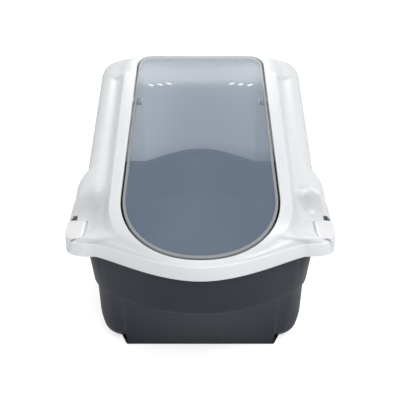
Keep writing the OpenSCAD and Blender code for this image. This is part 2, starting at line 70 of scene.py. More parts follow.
class Wire:
    """One output of a material's nodes. Its operators add Math nodes, and node() adds any other."""

    def __init__(self, tree, socket):
        self.tree = tree
        self.socket = socket

    def node(self, kind, settings=(), **inputs):
        """A node of that type with its settings, fed with values or wires by socket name."""
        made = self.tree.nodes.new(kind)
        for name, value in dict(settings).items():
            setattr(made, name, value)
        for name, value in inputs.items():
            key = int(name[1:]) if name[0] == "i" and name[1:].isdigit() else name.replace("_", " ")
            if isinstance(value, Wire):
                self.tree.links.new(value.socket, made.inputs[key])
            else:
                made.inputs[key].default_value = value
        return made

    def out(self, kind, settings=(), output=0, **inputs):
        """The same, as the wire from one of its outputs."""
        return Wire(self.tree, self.node(kind, settings, **inputs).outputs[output])

    def math(self, operation, first, second):
        return self.out("ShaderNodeMath", {"operation": operation}, i0=first, i1=second)

    def __add__(self, other):
        return self.math("ADD", self, other)

    def __sub__(self, other):
        return self.math("SUBTRACT", self, other)

    def __rsub__(self, other):
        return self.math("SUBTRACT", other, self)

    def __mul__(self, other):
        return self.math("MULTIPLY", self, other)

    def clipped(self, low, high):
        """0 below low and 1 above high, and a straight ramp between."""
        return self.out("ShaderNodeMapRange", Value=self, From_Min=low, From_Max=high)

    def blend(self, first, second):
        """The colour first where this is 0, and second where it is 1."""
        return self.out("ShaderNodeMix", {"data_type": "RGBA"}, output=2, i0=self, i6=first, i7=second)


def new_material(name):
    """A material with no nodes, and a wire to build its nodes from."""
    made = bpy.data.materials.new(name)
    made.use_nodes = True
    made.node_tree.nodes.clear()
    return made, Wire(made.node_tree, None)


sheet_paper, w = new_material("sheet_paper")
rays = w.node("ShaderNodeLightPath")
seen = (
    Wire(w.tree, rays.outputs["Is Camera Ray"])
    + Wire(w.tree, rays.outputs["Is Transmission Ray"])
).clipped(0.0, 1.0)
paper = w.out("ShaderNodeBsdfDiffuse", Color=SHEET_COLOUR)
glow = w.out("ShaderNodeEmission", Color=(1.0, 1.0, 1.0, 1.0), Strength=seen * SHEET_GLOW)
w.node("ShaderNodeOutputMaterial", Surface=w.out("ShaderNodeAddShader", i0=paper, i1=glow))

sheet_mesh = bpy.data.meshes.new("sheet")
half = SHEET_SIZE / 2
sheet_mesh.from_pydata(
    [(-half, -half, 0.0), (half, -half, 0.0), (half, half, 0.0), (-half, half, 0.0)], [], [(0, 1, 2, 3)]
)
sheet_mesh.materials.append(sheet_paper)
sheet = bpy.data.objects.new("sheet", sheet_mesh)
bpy.context.collection.objects.link(sheet)

surround = bpy.data.worlds.new("surround")
surround.use_nodes = True
surround.node_tree.nodes.clear()
w = Wire(surround.node_tree, None)
direct = w.out("ShaderNodeLightPath", output="Is Camera Ray")
sky = w.out("ShaderNodeBackground", Color=(1.0, 1.0, 1.0, 1.0),
            Strength=direct * (1.0 - SURROUND_LIGHT) + SURROUND_LIGHT)
w.node("ShaderNodeOutputWorld", Surface=sky)
bpy.context.scene.world = surround


def soft_lamp(name, place, target, size, watts):
    """A square area lamp at a place, turned to a target."""
    lamp = bpy.data.lights.new(name, "AREA")
    lamp.shape = "SQUARE"
    lamp.size = size
    lamp.energy = watts
    holder = bpy.data.objects.new(name, lamp)
    holder.location = place
    holder.rotation_euler = (Vector(target) - Vector(place)).to_track_quat("-Z", "Y").to_euler()
    bpy.context.collection.objects.link(holder)


BOX_MIDDLE = (0.0, 0.0, 0.2)
LID_UPPER_HALF = (0.0, 0.1, 0.3)
soft_lamp("lamp_right", (1.5, -0.5, 1.8), BOX_MIDDLE, size=0.9, watts=9.5)
soft_lamp("lamp_left", (-1.5, -0.4, 1.6), BOX_MIDDLE, size=0.9, watts=1.5)
soft_lamp("lamp_front", (0.4, -1.9, 2.0), BOX_MIDDLE, size=1.0, watts=18.0)
soft_lamp("lamp_rear", (0.0, 1.66, 2.0), LID_UPPER_HALF, size=1.06, watts=13.0)

# Tray
# The lower half: a deep anthracite basin, injection moulded in one piece. A ledge runs round
# it, a flat foot panel stands out at each end, and its rim carries the hood.
MM = 0.001
NOSE_Y = 280.0
WAVE = 75.0
WAVE_POWER = 0.57
FRONT_FLAT = NOSE_Y - WAVE
NOSE_REACH = 152.0
TAIL_REACH = 108.0
APRON_W = 378.0
APRON_CORNER = 26.0
HEM_H = 185.0
HOOD_WALL = 2.6
TRAY_WALL = 3.0
TRAY_HALF = 173.0
TRAY_CORNER = 30.0
LEDGE_HALF = 167.0
LEDGE_FLAT = 146.0
LEDGE_H = 103.0
LEDGE_STEP = 4.0
LEDGE_ARCH = 87.0
PANEL_HALF = 118.5
PANEL_PART = 0.6
PANEL_SIDE = 0.8
FOOT_H = 3.0
FOOT_HALF = 156.0
FOOT_MARGIN = 2.0
FOOT_DRAFT = 0.4
FOOT_EDGE = 0.5
BODY_DRAFT = 3.0
FLOOR_TUCK = 3.0
LEAST_CORNER = 4.0
NECK_INSET = 16.0
NECK_DRAFT = 0.6
NECK_DROP = 8.0
RIM_OVER_HEM = 2.6
RIM_PLATE_T = 3.0
RIM_CLEAR = 1.5
RIM_TOP = HEM_H + RIM_OVER_HEM
RIM_LOW = RIM_TOP - RIM_PLATE_T
RIM_INSET = HOOD_WALL + RIM_CLEAR
TONGUE_X = 194.0
TONGUE_Y = 142.0
TONGUE_W = 8.0
TONGUE_L = 9.0
TONGUE_TOP = 216.0
TONGUE_ROOT = 4.0

# A lap has 18 stations along each side and 30 round each end, cut into fine steps. It starts at the
# front of the right side and runs round the tail, the left side and the nose.
SIDE = 18.0
END = 30.0
STEP = 0.2
lap = np.arange(0.0, 2 * (SIDE + END), STEP)
on_right = lap < SIDE
on_tail = (lap >= SIDE) & (lap < SIDE + END)
on_left = (lap >= SIDE + END) & (lap < 2 * SIDE + END)
on_nose = lap >= 2 * SIDE + END


def mix(a, b, f):
    """From a to b, f of the way."""
    return a + (b - a) * f


def soft(a, b, v):
    """0 at a and 1 at b, level at both: 3u^2 - 2u^3."""
    u = np.clip((v - a) / (b - a), 0.0, 1.0)
    return u * u * (3.0 - 2.0 * u)


def wave_at(x, reach):
    """1 in the middle of an end, falling to 0 at the reach: (1 - soft)^WAVE_POWER."""
    return (1.0 - soft(0.0, reach, np.abs(x))) ** WAVE_POWER


def end_x(w):
    """x round an end of the tray, with u from -1 to 1 along it: even steps across the foot panel, and
    a quarter of a sine beyond it."""
    k = np.where(on_tail, lap - SIDE, lap - 2 * SIDE - END)
    u = 2.0 * k / END - 1.0
    a = np.abs(u)
    side_x = PANEL_HALF + PANEL_SIDE
    beyond = np.clip((a - PANEL_PART) / (1.0 - PANEL_PART), 0.0, 1.0)
    outer = side_x + (w - side_x) * np.sin(np.pi / 2.0 * beyond)
    return np.sign(u) * np.where(a <= PANEL_PART + 1e-9, PANEL_HALF * a / PANEL_PART, outer)


def tray_ring(w, flat, corner, z, swell=0.0, arch=0.0, tuck=0.0):
    """One lap of the tray at height z: straight sides at w, and at each end flat + a corner of that
    radius + swell * wave + an arch, with everything outside the foot panel tucked in."""
    x = end_x(w)
    reach = np.where(on_tail, TAIL_REACH, NOSE_REACH)
    round_corner = np.sqrt(np.maximum(0.0, corner**2 - np.maximum(0.0, np.abs(x) - w + corner) ** 2))
    out = flat + round_corner - corner + arch * (1.0 - (x / w) ** 2)
    out = out + swell * wave_at(x, reach) - np.where(np.abs(x) > PANEL_HALF + PANEL_SIDE / 2, tuck, 0.0)
    side = flat - corner - tuck
    right_y = mix(-side, side, lap / SIDE)
    left_y = mix(side, -side, (lap - SIDE - END) / SIDE)
    px = np.select([on_right, on_tail, on_left, on_nose], [w + 0 * lap, -x, -w + 0 * lap, x])
    py = np.select([on_right, on_tail, on_left, on_nose], [right_y, out, left_y, -out])
    return np.stack([px, py, np.broadcast_to(z, lap.shape)], axis=1)


def body_ring(z, tuck, wall):
    """A lap below the ledge, which widens with height and is tucked in at its corners. On the floor
    the inner laps lie a wall higher."""
    t = min(1.0, z / LEDGE_H)
    half_w = mix(LEDGE_HALF - BODY_DRAFT, LEDGE_HALF, t) - tuck - wall
    flat = mix(FOOT_HALF, LEDGE_FLAT, t) - wall
    corner = max(LEAST_CORNER, TRAY_CORNER - wall - tuck / 2.0)
    floor = wall if tuck > FLOOR_TUCK else 0.0
    return tray_ring(half_w, flat, corner, z + floor, arch=LEDGE_ARCH * t, tuck=tuck)


MOST_BENT = 0.46


def rounded(laps, steps, closed):
    """Laps of (ring, radius), each bent over as a parabola: (1-s)^2 A + 2s(1-s) P + s^2 B, where A
    and B lie at the radius along the way to the next rings, at most 0.46 of that way."""
    rings = [ring for ring, _ in laps]
    grid = []
    for k, (ring, radius) in enumerate(laps):
        if not closed and k in (0, len(rings) - 1):
            grid.append(ring)
            continue
        before = rings[k - 1] - ring
        after = rings[(k + 1) % len(rings)] - ring
        way_b = np.maximum(np.linalg.norm(before, axis=1), 1e-6)[:, None]
        way_a = np.maximum(np.linalg.norm(after, axis=1), 1e-6)[:, None]
        start = ring + before * np.minimum(radius / way_b, MOST_BENT)
        stop = ring + after * np.minimum(radius / way_a, MOST_BENT)
        for s in np.linspace(0.0, 1.0, steps if radius else 1):
            grid.append((1 - s) ** 2 * start + 2 * s * (1 - s) * ring + s * s * stop)
    return np.array(grid)


def put_mesh(name, points, polygons, sharp_deg=40.0):
    """An object from points in millimetres and a list or an array of faces."""
    mesh = bpy.data.meshes.new(name)
    mesh.from_pydata((np.asarray(points) * MM).tolist(), [], [tuple(face) for face in polygons])
    mesh.update()
    mesh.shade_smooth()
    mesh.set_sharp_from_angle(angle=math.radians(sharp_deg))
    made = bpy.data.objects.new(name, mesh)
    bpy.context.collection.objects.link(made)
    return made


def grid_faces(rows, columns, closed, flip=False):
    """Quads between neighbouring rows of a grid whose columns run round. Closed joins the last row
    to the first."""
    r = np.arange(rows if closed else rows - 1)[:, None]
    c = np.arange(columns)[None, :]
    r2 = (r + 1) % rows
    c2 = (c + 1) % columns
    quads = np.stack([r * columns + c, r * columns + c2, r2 * columns + c2, r2 * columns + c], axis=-1)
    quads = quads.reshape(-1, 4)
    return quads[:, ::-1] if flip else quads


def fan_ended(grid, low_middle, high_middle):
    """Points and faces of a grid that is closed at each end by a fan to a middle point."""
    rows, columns = grid.shape[:2]
    first = np.arange(columns)
    beside = (first + 1) % columns
    last_row = (rows - 1) * columns
    low_fan = np.stack([np.full(columns, rows * columns), beside, first], axis=1)
    high_fan = np.stack([np.full(columns, rows * columns + 1), last_row + first, last_row + beside], axis=1)
    points = np.vstack([grid.reshape(-1, 3), [low_middle, high_middle]])
    return points, grid_faces(rows, columns, False).tolist() + low_fan.tolist() + high_fan.tolist()


def flat_ended(grid, flip=False):
    """Points and faces of a grid that is closed at each end by one flat face."""
    rows, columns = grid.shape[:2]
    ends = [list(range(columns))[::-1], [(rows - 1) * columns + c for c in range(columns)]]
    faces = grid_faces(rows, columns, False, flip).tolist()
    return grid.reshape(-1, 3), faces + [end[::-1] if flip else end for end in ends]


RIM_HALF = APRON_W / 2 - RIM_INSET
RIM_FLAT = FRONT_FLAT - RIM_INSET
RIM_CORNER = APRON_CORNER - RIM_INSET


def upper_ring(f, inset):
    """A lap between the ledge and the neck, f of the way up."""
    low = tray_ring(LEDGE_HALF + LEDGE_STEP - inset, LEDGE_FLAT + LEDGE_STEP - inset, TRAY_CORNER - inset,
                    LEDGE_H + LEDGE_STEP, arch=LEDGE_ARCH)
    high = tray_ring(TRAY_HALF - NECK_DRAFT - inset, FRONT_FLAT - NECK_INSET - NECK_DRAFT - inset,
                     TRAY_CORNER - inset, RIM_LOW - NECK_DROP, swell=WAVE)
    return mix(low, high, f)


# Laps in the floor's bend: height, how far the corners are tucked in, and the edge's radius. In the
# lists of laps the radius at which each lap is bent over comes after it.
floor_bend = [(3.0, 27.0, 3.0), (7.0, 17.0, 5.0), (18.0, 7.5, 8.0), (43.0, 2.0, 10.0)]
panel_foot = PANEL_HALF + FOOT_MARGIN
neck_half = TRAY_HALF - TRAY_WALL
neck_flat = FRONT_FLAT - NECK_INSET
tray_laps = (
    [(tray_ring(panel_foot, FOOT_HALF, FOOT_MARGIN, 0.0), 0.2),
     (tray_ring(panel_foot + FOOT_DRAFT, FOOT_HALF + FOOT_MARGIN, FOOT_MARGIN, FOOT_H - FOOT_EDGE), 0.6)]
    + [(body_ring(z, tuck, 0.0), edge) for z, tuck, edge in floor_bend]
    + [(body_ring(LEDGE_H, 0.0, 0.0), 2.0), (upper_ring(0.0, 0.0), 3.0), (upper_ring(0.33, 0.0), 20.0),
       (upper_ring(0.66, 0.0), 20.0), (upper_ring(1.0, 0.0), 3.0),
       (tray_ring(TRAY_HALF, neck_flat, TRAY_CORNER, RIM_LOW, swell=WAVE), 1.0),
       (tray_ring(RIM_HALF, RIM_FLAT, RIM_CORNER, RIM_LOW, swell=WAVE), 0.6),
       (tray_ring(RIM_HALF, RIM_FLAT, RIM_CORNER, RIM_TOP, swell=WAVE), 0.6),
       (tray_ring(neck_half, neck_flat - TRAY_WALL, TRAY_CORNER - TRAY_WALL, RIM_TOP, swell=WAVE), 1.0),
       (upper_ring(1.0, TRAY_WALL), 3.0), (upper_ring(0.66, TRAY_WALL), 20.0),
       (upper_ring(0.33, TRAY_WALL), 20.0), (upper_ring(0.0, TRAY_WALL), 3.0),
       (body_ring(LEDGE_H, 0.0, TRAY_WALL), 2.0)]
    + [(body_ring(z, tuck, TRAY_WALL), edge) for z, tuck, edge in floor_bend[::-1]]
)
tray_grid = rounded(tray_laps, 5, closed=False)
tray_solid = fan_ended(tray_grid, [0.0, 0.0, 0.0], [0.0, 0.0, FOOT_H + TRAY_WALL])
tray = put_mesh("tray_basin", *tray_solid)


def rectangle(width, length, corner):
    """A plan that is inset on call: a rectangle with round corners, 8 points to each."""
    def plan(inset):
        r = max(corner - inset, 0.05)
        t = np.linspace(0.0, np.pi / 2, 8)
        turns = [t + k * np.pi / 2 for k in range(4)]
        cx = np.array([1, -1, -1, 1]) * (width / 2 - inset - r)
        cy = np.array([1, 1, -1, -1]) * (length / 2 - inset - r)
        corners = [np.stack([x + r * np.cos(turn), y + r * np.sin(turn)], axis=1)
                   for x, y, turn in zip(cx, cy, turns)]
        return np.concatenate(corners)
    return plan


def disc(radius):
    """A plan that is inset on call: 64 points of a circle."""
    t = np.linspace(0.0, 2 * np.pi, 64, endpoint=False)
    return lambda inset: (radius - inset) * np.stack([np.cos(t), np.sin(t)], axis=1)


def block(plan, low, high, edge):
    """A plan carried from low to high, each end rounded by a quarter circle of that edge radius and
    closed by one flat face. Returns its points and faces."""
    t = np.linspace(0.0, np.pi / 2, 4) if edge else np.array([np.pi / 2])
    insets = edge * (1.0 - np.sin(t))
    heights = edge * (1.0 - np.cos(t))
    levels = [(inset, low + h) for inset, h in zip(insets, heights)]
    levels += [(inset, high - h) for inset, h in zip(insets[::-1], heights[::-1])]
    return flat_ended(np.array([np.insert(plan(inset), 2, height, axis=1) for inset, height in levels]))


def moved(solid, by=(0.0, 0.0, 0.0), turn=None):
    """The solid turned by a 3 x 3 matrix, if one is given, and moved."""
    points, faces = solid
    return (points @ np.asarray(turn).T if turn is not None else points) + np.asarray(by), faces


def mirrored(solid):
    """The solid's mirror image across x = 0, with its faces turned outward again."""
    points, faces = solid
    return points * np.array([-1.0, 1.0, 1.0]), [list(f)[::-1] for f in faces]


def worked(piece, solids, operation, sharp_deg):
    """Adds solids to a piece, or cuts them out of it: UNION or DIFFERENCE, applied to the mesh."""
    points = np.concatenate([p for p, _ in solids])
    starts = np.cumsum([0] + [len(p) for p, _ in solids[:-1]])
    faces = [[int(start) + i for i in f] for start, (_, fs) in zip(starts, solids) for f in fs]
    tool = put_mesh("tool", points, faces)
    change = piece.modifiers.new("work", "BOOLEAN")
    change.operation = operation
    change.solver = "MANIFOLD"
    change.object = tool
    seen = piece.evaluated_get(bpy.context.evaluated_depsgraph_get())
    result = bpy.data.meshes.new_from_object(seen)
    result.materials.clear()
    piece.modifiers.remove(change)
    piece.data = result
    bpy.data.objects.remove(tool)
    result.shade_smooth()
    result.set_sharp_from_angle(angle=math.radians(sharp_deg))


# A tongue stands on each side of the rim and comes up through the slot in the hood's wing
BRACKET_SUNK = 0.3
TRAY_SHARP_DEG = 32.0
TONGUE_LOW = RIM_LOW + BRACKET_SUNK
tongue_out = TONGUE_X + TONGUE_W / 2
tongue_in = RIM_HALF - TONGUE_ROOT
bracket = moved(
    block(rectangle(tongue_out - tongue_in, TONGUE_L, corner=0.8), TONGUE_LOW, RIM_TOP - BRACKET_SUNK,
          edge=0.3),
    ((tongue_out + tongue_in) / 2, -TONGUE_Y, 0.0))
post = block(rectangle(TONGUE_W, TONGUE_L, corner=1.0), TONGUE_LOW, TONGUE_TOP, edge=0.6)
post = moved(post, (TONGUE_X, -TONGUE_Y, 0.0))
worked(tray, [bracket, mirrored(bracket)], "UNION", TRAY_SHARP_DEG)
worked(tray, [post, mirrored(post)], "UNION", TRAY_SHARP_DEG)

ANTHRACITE = (0.024, 0.029, 0.041, 1.0)
ANTHRACITE_PALE = (0.031, 0.037, 0.050, 1.0)
PLASTIC_IOR = 1.49


def plastic(name, colour, pale, roughness, spread, grain_mm, grain_depth, coat=0.0, shine=0.5,
            glow_through=0.0):
    """Moulded plastic: a faint cloud from the melt, a roughness that follows it, and a fine grain.
    Where it glows through, light comes through a thin wall."""
    made, w = new_material(name)
    place = w.out("ShaderNodeTexCoord", output="Object")
    cloud = w.out("ShaderNodeTexNoise", Vector=place, Scale=9.0, Detail=3.0, Roughness=0.55)
    streak = w.out("ShaderNodeTexNoise", Vector=place, Scale=38.0, Detail=4.0, Roughness=0.6)
    grain = w.out("ShaderNodeTexNoise", Vector=place, Scale=1.0 / (grain_mm * MM), Detail=2.0)
    melt = (cloud * 0.7 + streak * 0.3).clipped(0.3, 0.7)
    bump = w.out("ShaderNodeBump", Strength=0.35, Distance=grain_depth * MM, Height=grain)
    body = w.node("ShaderNodeBsdfPrincipled", IOR=PLASTIC_IOR, Coat_Weight=coat, Coat_Roughness=0.12,
                  Specular_IOR_Level=shine, Subsurface_Weight=glow_through,
                  Subsurface_Radius=(1.0, 1.0, 1.0), Subsurface_Scale=0.005,
                  Base_Color=melt.blend(colour, pale), Roughness=melt * spread + roughness, Normal=bump)
    w.node("ShaderNodeOutputMaterial", Surface=Wire(w.tree, body.outputs[0]))
    return made


tray_plastic = plastic("tray_plastic", ANTHRACITE, ANTHRACITE_PALE, roughness=0.34, spread=0.10,
                       grain_mm=1.6, grain_depth=0.003, shine=0.25)
tray.data.materials.append(tray_plastic)
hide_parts("tray")
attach(tray, "tray")

# Hood
# The upper half: one white moulding with a raised band round the lid's opening, a channel and a
# ridge outside the band, a wing on each side for the clips, and an apron that laps over the tray.
NOSE_H = 205.0
CREST_Y = 184.0
CREST_H = 400.0
ROOF_SLOPE = (CREST_H - NOSE_H) / (CREST_Y + NOSE_Y)
ROOF_ANGLE = math.atan(ROOF_SLOPE)
REAR_FLAT = 205.0
CORNER = 34.0
SHOULDER_HALF = 183.0
BAND_HALF = 136.5
WING_HALF = 203.0
WING_OUT = WING_HALF - APRON_W / 2
WING_POWER = 6
WING_FULL = 93.5
WING_REAR = 66.5
LID_W = 234.0
LID_REAR_W = 223.0
LID_TIP = 262.0
LID_TAIL = 180.6
LID_ROUND = 113.0
LID_CORNER = 24.0
LID_POWER = 2.15
SLIT = 3.2
LID_SIDE = LID_TIP - LID_ROUND
FLANGE_D = 12.0
APRON_STEP = 3.0
DRAFT = 1.0
WING_LIP = 2.5
NOSE_LIP = 1.5
CREASE_OVER_NOSE = 1.0
CREASE_UNDER_NOSE_LIP = 0.8
LEAST_WALL_RISE = 0.5
CREASE_CLIMB = (-230.0, -180.0)
SEAT_CLEAR = 0.3
SEAT_H = RIM_TOP + SEAT_CLEAR
angle_tail = np.pi * (lap - SIDE) / END - np.pi / 2
angle_nose = np.pi * (lap - 2 * SIDE - END) / END - np.pi / 2
nose_part = np.where(on_nose, np.cos(angle_nose), 0.0)
front_part = soft(0.0, 0.6, nose_part)
tail_part = np.where(on_tail, soft(0.3, 0.6, np.cos(angle_tail)), 0.0)


def roof(y):
    """Height of the roof's plane at y."""
    return NOSE_H + ROOF_SLOPE * (y + NOSE_Y)


def end_out(x, w, depth, power, swell=0.0, reach=1.0):
    """How far an end stands out at x: a superellipse of that depth, or a corner of that radius
    where the power is 0, plus a swell that spreads over the reach."""
    a = np.minimum(np.abs(x) / w, 1.0)
    if power:
        bow = depth * (1.0 - a**power) ** (1.0 / power)
    else:
        bow = np.sqrt(np.maximum(0.0, depth**2 - np.maximum(0.0, np.abs(x) - w + depth) ** 2))
    return bow + swell * wave_at(x, reach)


def plan_ring(w, front_y, front, rear_y, rear):
    """A lap in plan with sides at w: from -front_y to rear_y, and an end of that form at each."""
    x_tail = -w * np.sin(angle_tail)
    x_nose = w * np.sin(angle_nose)
    x = np.select([on_right, on_tail, on_left, on_nose], [w + 0 * lap, x_tail, -w + 0 * lap, x_nose])
    y = np.select(
        [on_right, on_tail, on_left, on_nose],
        [mix(-front_y, rear_y, lap / SIDE), rear_y + end_out(x_tail, w, *rear),
         mix(rear_y, -front_y, (lap - SIDE - END) / SIDE), -front_y - end_out(x_nose, w, *front)])
    return np.stack([x, y], axis=1)


def lid_plan(grow):
    """The lid's outline in plan, grown: a superellipse ahead, two round corners behind, tapered."""
    p = plan_ring(LID_W / 2 + grow, LID_SIDE, (LID_ROUND + grow, LID_POWER),
                  LID_TAIL - LID_CORNER, (LID_CORNER + grow, 0))
    f = np.maximum(0.0, (p[:, 1] + LID_SIDE) / (LID_TAIL + LID_SIDE))
    p[:, 0] *= 1.0 - (1.0 - LID_REAR_W / LID_W) * f
    return p


def wing_at(y):
    """0 behind the wings and 1 along them."""
    return soft(WING_REAR, WING_FULL, -y)


def widened(p, w, out):
    """The plan p pushed out into the wings towards its sides, ahead of their rear ends."""
    share = wing_at(p[:, 1]) * np.minimum(1.0, np.abs(p[:, 0]) / w) ** WING_POWER
    return np.stack([p[:, 0] + np.sign(p[:, 0]) * out * share, p[:, 1]], axis=1)


def apron_plan(inset, out):
    """The apron's outline in plan, inset by a wall."""
    w = APRON_W / 2 - inset
    corner = APRON_CORNER - inset
    ring = plan_ring(w, FRONT_FLAT - APRON_CORNER, (corner, 0, WAVE, NOSE_REACH),
                     REAR_FLAT - APRON_CORNER, (corner, 0, NOSE_Y - REAR_FLAT, TAIL_REACH))
    return widened(ring, w, out)


DECK_REAR_Y = -129.0
DECK_FADE = 20.0
RIDGE_OUT = 27.0
DECK_BEND = RIDGE_OUT / (WING_HALF - BAND_HALF)
BAND_DROP = 8.0
# Height over the nose beside the band, at the ridge's line and at the wing's edge, ahead and behind
DECK_FRONT = (12.0, 3.5, 2.0)
DECK_REAR = (roof(DECK_REAR_Y) - BAND_DROP - NOSE_H, 19.0, 15.5)


def deck(x, y):
    """Height of the decks beside the lid's front: two slanted strips that meet at the ridge's line,
    the outer one almost level, both rising to the rear."""
    t = np.maximum(0.0, (y + FRONT_FLAT) / (DECK_REAR_Y + FRONT_FLAT))
    s = np.clip((np.abs(x) - BAND_HALF) / (WING_HALF - BAND_HALF), 0.0, 1.0)
    inner, bend, outer = [NOSE_H + mix(front, rear, t) for front, rear in zip(DECK_FRONT, DECK_REAR)]
    return np.where(s < DECK_BEND, mix(inner, bend, s / DECK_BEND),
                    mix(bend, outer, (s - DECK_BEND) / (1.0 - DECK_BEND)))


# A lap of the upper shell: its half width and rear y, the tail's swell, its share of the way from
# the opening to the apron round the nose, its drops below the roof, and its share of the wings
Lap = namedtuple("Lap", "half_w rear_y swell share side_drop rear_drop wing")


def shell_plan(spec, inset):
    """A lap of the upper shell in plan: between the opening and the apron round the nose, and a
    box with round rear corners elsewhere."""
    w = spec.half_w - inset
    opened = LID_W / 2 + SLIT
    f = (w - opened) / (APRON_W / 2 - opened)
    box = plan_ring(w, mix(LID_SIDE, FRONT_FLAT - APRON_CORNER, f), (1.0, 0),
                    spec.rear_y - CORNER, (CORNER - inset, 0, spec.swell, TAIL_REACH))
    round_nose = mix(lid_plan(SLIT), apron_plan(inset, 0.0), mix(f, spec.share, nose_part)[:, None])
    return widened(np.where((nose_part > 0)[:, None], round_nose, box), w, WING_OUT * spec.wing)


def shell_height(p, spec):
    """Height of that lap: the roof less the lap's drop, the deck ahead of the shoulders, and a
    slight fall to the apron round the nose."""
    rear = np.where(p[:, 1] > REAR_FLAT - 2 * CORNER,
                    1.0 - soft(BAND_HALF, BAND_HALF + CORNER, np.abs(p[:, 0])), 0.0)
    side = roof(np.minimum(p[:, 1], CREST_Y)) - mix(spec.side_drop, spec.rear_drop, rear)
    on_deck = 1.0 - soft(DECK_REAR_Y - DECK_FADE / 2, DECK_REAR_Y + DECK_FADE / 2, p[:, 1])
    low = mix(side, deck(p[:, 0], p[:, 1]), on_deck) if spec.side_drop > 1.0 else side
    front = mix(roof(lid_plan(SLIT)[:, 1]), NOSE_H + NOSE_LIP, spec.share)
    return mix(low, front, front_part)


def lifted(p, z):
    """A plan at a height, or at one height for each of its points."""
    return np.stack([p[:, 0], p[:, 1], np.broadcast_to(z, p[:, 0].shape)], axis=1)


def shell_ring(spec, inset, sink):
    """A lap of the upper shell, inset and sunk by the wall for its inner face."""
    p = shell_plan(spec, inset)
    drop = mix(sink, HOOD_WALL, front_part) if sink > 0 else 0.0
    return lifted(p, shell_height(p, spec) - drop)


def apron_top(p):
    """Height of the crease along the apron's top, which climbs along the wings."""
    rise = deck(WING_HALF, p[:, 1]) - NOSE_H - DECK_FRONT[2] - WING_LIP
    return NOSE_H + CREASE_OVER_NOSE + rise * wing_at(p[:, 1]) * soft(*CREASE_CLIMB, p[:, 1])


band = Lap(BAND_HALF, CREST_Y + 4.0, 0.0, 0.30, side_drop=0.8, rear_drop=2.5, wing=0.0)
channel = Lap(BAND_HALF + 11.0, CREST_Y + 9.0, 2.0, 0.42, side_drop=13.0, rear_drop=6.0, wing=0.0)
ridge = Lap(BAND_HALF + RIDGE_OUT, CREST_Y + 12.5, 5.0, 0.52, side_drop=9.0, rear_drop=12.0, wing=0.0)
brow = Lap(SHOULDER_HALF - 5.0, CREST_Y + 14.5, 9.0, 0.60, side_drop=18.0, rear_drop=22.0, wing=0.7)
wall = Lap(SHOULDER_HALF, CREST_Y + 16.0, 18.0, 0.66, side_drop=38.0, rear_drop=38.0, wing=0.9)


def lower_ring(f, inset):
    """A lap of the tall wall, f of the way from the apron's crease up to the shoulders."""
    top = shell_plan(wall, inset)
    foot = apron_plan(inset + APRON_STEP, WING_OUT - 1.0)
    foot_z = apron_top(foot) + mix(APRON_STEP, CREASE_UNDER_NOSE_LIP, front_part)
    top_z = np.maximum(foot_z + LEAST_WALL_RISE, shell_height(top, wall))
    sink = HOOD_WALL * front_part if inset > 0 else 0.0
    return lifted(mix(foot, top, f), mix(foot_z, top_z, f) - sink)


def apron_ring(inset, z=None):
    """A lap of the apron, at its crease or at a given height."""
    p = apron_plan(inset, WING_OUT)
    return lifted(p, apron_top(p) if z is None else z)


def flange_ring(grow, side_depth, front_depth):
    """A lap of the opening's flange, square to the roof."""
    p = lid_plan(SLIT + grow)
    depth = mix(side_depth, front_depth, front_part)
    return lifted(np.stack([p[:, 0], p[:, 1] + depth * math.sin(ROOF_ANGLE)], axis=1),
                  roof(p[:, 1]) - depth * math.cos(ROOF_ANGLE))


def tucked(ring, dy, dz):
    """Behind the opening the flange and the rear wall are one, so these laps lie at its foot."""
    at = ring.copy()
    foot_y = LID_TAIL + SLIT + HOOD_WALL
    at[:, 1] = mix(ring[:, 1], foot_y + FLANGE_D * math.sin(ROOF_ANGLE) + dy, tail_part)
    at[:, 2] = mix(ring[:, 2], roof(foot_y) - FLANGE_D * math.cos(ROOF_ANGLE) - dz, tail_part)
    return at


SINK = HOOD_WALL / math.cos(ROOF_ANGLE)
hood_laps = [
    (flange_ring(0.0, FLANGE_D, FLANGE_D), 0.8),
    (flange_ring(0.0, 0.0, 0.0), 1.2),
    (shell_ring(band, 0.0, 0.0), 1.6),
    (shell_ring(channel, 0.0, 0.0), 7.0),
    (shell_ring(ridge, 0.0, 0.0), 8.0),
    (shell_ring(brow, 0.0, 0.0), 12.0),
    (shell_ring(wall, 0.0, 0.0), 14.0),
    (lower_ring(0.68, 0.0), 30.0),
    (lower_ring(0.34, 0.0), 30.0),
    (lower_ring(0.0, 0.0), 1.6),
    (apron_ring(DRAFT), 1.4),
    (apron_ring(0.0, HEM_H), 0.9),
    (apron_ring(HOOD_WALL, HEM_H), 0.5),
    (apron_ring(HOOD_WALL, SEAT_H), 0.5),
    (apron_ring(HOOD_WALL + APRON_STEP + DRAFT, SEAT_H), 1.0),
    (lower_ring(0.0, HOOD_WALL), 4.0),
    (lower_ring(0.34, HOOD_WALL), 30.0),
    (lower_ring(0.68, HOOD_WALL), 30.0),
    (shell_ring(wall, HOOD_WALL, 1.0), 14.0),
    (shell_ring(brow, HOOD_WALL * 0.6, HOOD_WALL * 0.9), 10.0),
    (tucked(shell_ring(ridge, 0.0, SINK), dy=3.4, dz=3.0), 6.0),
    (tucked(shell_ring(channel, 0.0, SINK), dy=2.0, dz=1.6), 4.0),
    (tucked(shell_ring(band, 0.0, SINK), dy=1.2, dz=0.8), 1.0),
    (tucked(flange_ring(HOOD_WALL, SINK, 2.4 * SINK), dy=0.5, dz=0.3), 0.6),
    (flange_ring(HOOD_WALL, FLANGE_D, FLANGE_D), 0.8)]
hood_grid = rounded(hood_laps, 5, closed=True)
rows, columns = hood_grid.shape[:2]
hood = put_mesh("hood_shell", hood_grid.reshape(-1, 3), grid_faces(rows, columns, True, flip=True))

